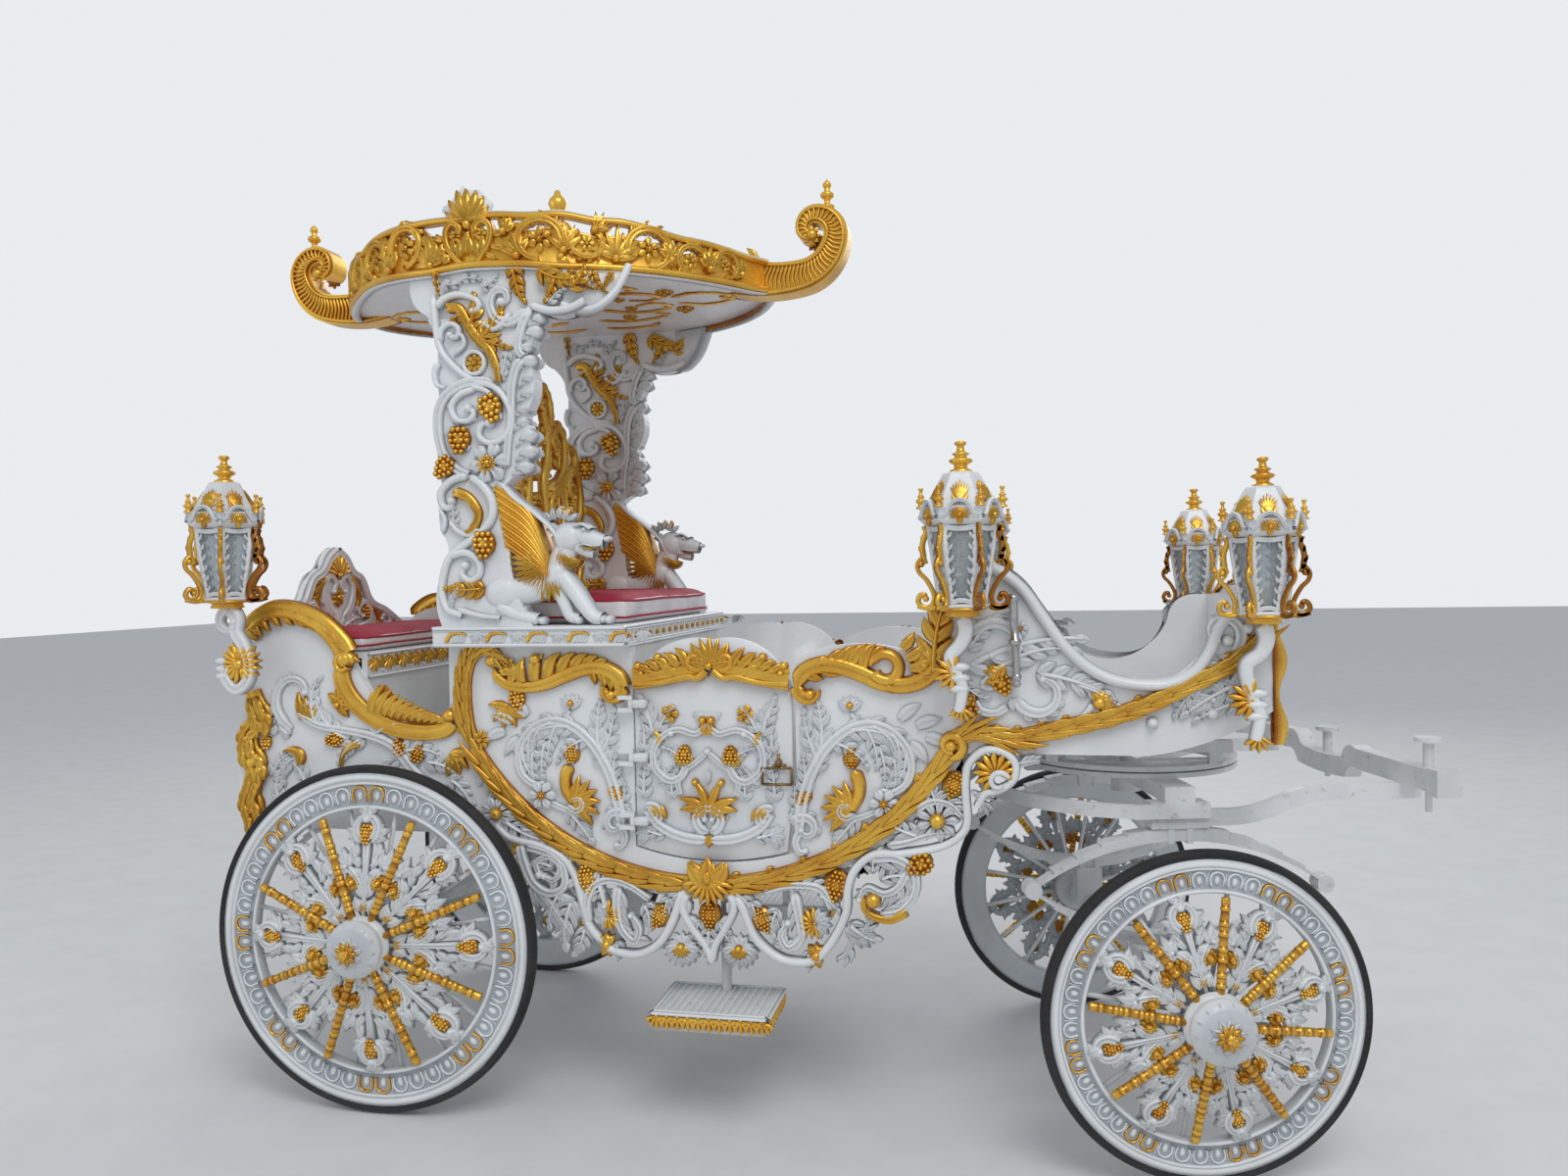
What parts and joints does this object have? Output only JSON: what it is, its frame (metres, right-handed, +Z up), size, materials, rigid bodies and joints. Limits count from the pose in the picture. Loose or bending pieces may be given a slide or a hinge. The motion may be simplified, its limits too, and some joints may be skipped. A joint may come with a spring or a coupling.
{
  "type": "horse drawn carriage",
  "caption": "Carved ceremonial horse drawn carriage with a canopied double seat, side doors, lanterns, sprung axles and a steering front carriage.",
  "frame": {"origin": "on the ground, under the middle of the whole length and width", "axes": "+X forward to the splinter bar, +Y to the carriage's left, +Z up"},
  "size_m": [3.7273, 1.585, 2.968],
  "materials": {
    "white_enamel": "gloss",
    "gold_leaf": "satin",
    "dark_steel": "satin",
    "rubber": "matte",
    "cushion_velvet": "matte",
    "chrome": "polished",
    "floor_paint": "satin",
    "seat_paint": "gloss",
    "lantern_glass": "polished"
  },
  "bodies": {
    "body": {"backrest": "gold_leaf", "bay_floor": "floor_paint", "body_pan": "floor_paint", "canopy_rim_left": "gold_leaf", "canopy_rim_right": "gold_leaf", "canopy_roof": "white_enamel", "canopy_tip_front": "gold_leaf", "canopy_tip_rear": "gold_leaf", "dash_board": "white_enamel", "driver_cushion": "cushion_velvet", "driver_seat": "seat_paint", "facing_bench": "seat_paint", "frieze_left": "white_enamel", "frieze_right": "white_enamel", "grab_rod_left": "chrome", "grab_rod_right": "chrome", "lantern_front_left": "white_enamel", "lantern_front_right": "white_enamel", "lantern_glass": "lantern_glass", "lantern_mid_left": "white_enamel", "lantern_mid_right": "white_enamel", "lantern_rear_right": "white_enamel", "lion_left": "white_enamel", "lion_right": "white_enamel", "moulding_left": "gold_leaf", "moulding_right": "gold_leaf", "nose_pan": "floor_paint", "post_left": "white_enamel", "post_right": "white_enamel", "rear_axle": "dark_steel", "rear_bench": "seat_paint", "rear_chassis": "dark_steel", "rear_cushion": "cushion_velvet", "rear_spring_left": "dark_steel", "rear_spring_right": "dark_steel", "seat_cushion": "cushion_velvet", "seat_ledge": "white_enamel", "seat_rear_panel": "seat_paint", "side_wall_left": "white_enamel", "side_wall_right": "white_enamel", "step_left": "dark_steel", "step_right": "dark_steel", "tail_board": "white_enamel", "turntable_upper": "dark_steel"},
    "front_carriage": {"front_axle": "dark_steel", "front_spring_left": "dark_steel", "front_spring_right": "dark_steel", "front_frame": "dark_steel", "splinter_bar": "dark_steel"},
    "rear_right_wheel": {"tyre_rear_right": "rubber", "wheel_rear_right": "white_enamel"},
    "rear_left_wheel": {"tyre_rear_left": "rubber", "wheel_rear_left": "white_enamel"},
    "front_right_wheel": {"tyre_front_right": "rubber", "wheel_front_right": "white_enamel"},
    "front_left_wheel": {"tyre_front_left": "rubber", "wheel_front_left": "white_enamel"},
    "door_leaf_right": {"door_right": "white_enamel"},
    "door_leaf_left": {"door_left": "white_enamel"}
  },
  "joints": [
    {"name": "steering", "type": "hinge", "parent": "body", "child": "front_carriage", "pos_m": [1.05055, 0, 1.03], "axis": [0, 0, 1], "range_deg": [-53.5, 26.5]},
    {"name": "rear_right_spin", "type": "hinge", "parent": "body", "child": "rear_right_wheel", "pos_m": [-1.20945, 0, 0.53], "axis": [0, 1, 0], "continuous": true},
    {"name": "rear_left_spin", "type": "hinge", "parent": "body", "child": "rear_left_wheel", "pos_m": [-1.20945, 0, 0.53], "axis": [0, 1, 0], "continuous": true},
    {"name": "front_right_spin", "type": "hinge", "parent": "front_carriage", "child": "front_right_wheel", "pos_m": [1.05055, 0, 0.44], "axis": [-0.2334, 0.9724, 0], "continuous": true},
    {"name": "front_left_spin", "type": "hinge", "parent": "front_carriage", "child": "front_left_wheel", "pos_m": [1.05055, 0, 0.44], "axis": [-0.2334, 0.9724, 0], "continuous": true},
    {"name": "door_right_swing", "type": "hinge", "parent": "body", "child": "door_leaf_right", "pos_m": [-0.40745, -0.534, 1.08], "axis": [0, 0, -1], "range_deg": [0, 95]},
    {"name": "door_left_swing", "type": "hinge", "parent": "body", "child": "door_leaf_left", "pos_m": [-0.40745, 0.534, 1.08], "axis": [0, 0, 1], "range_deg": [0, 95]}
  ]
}
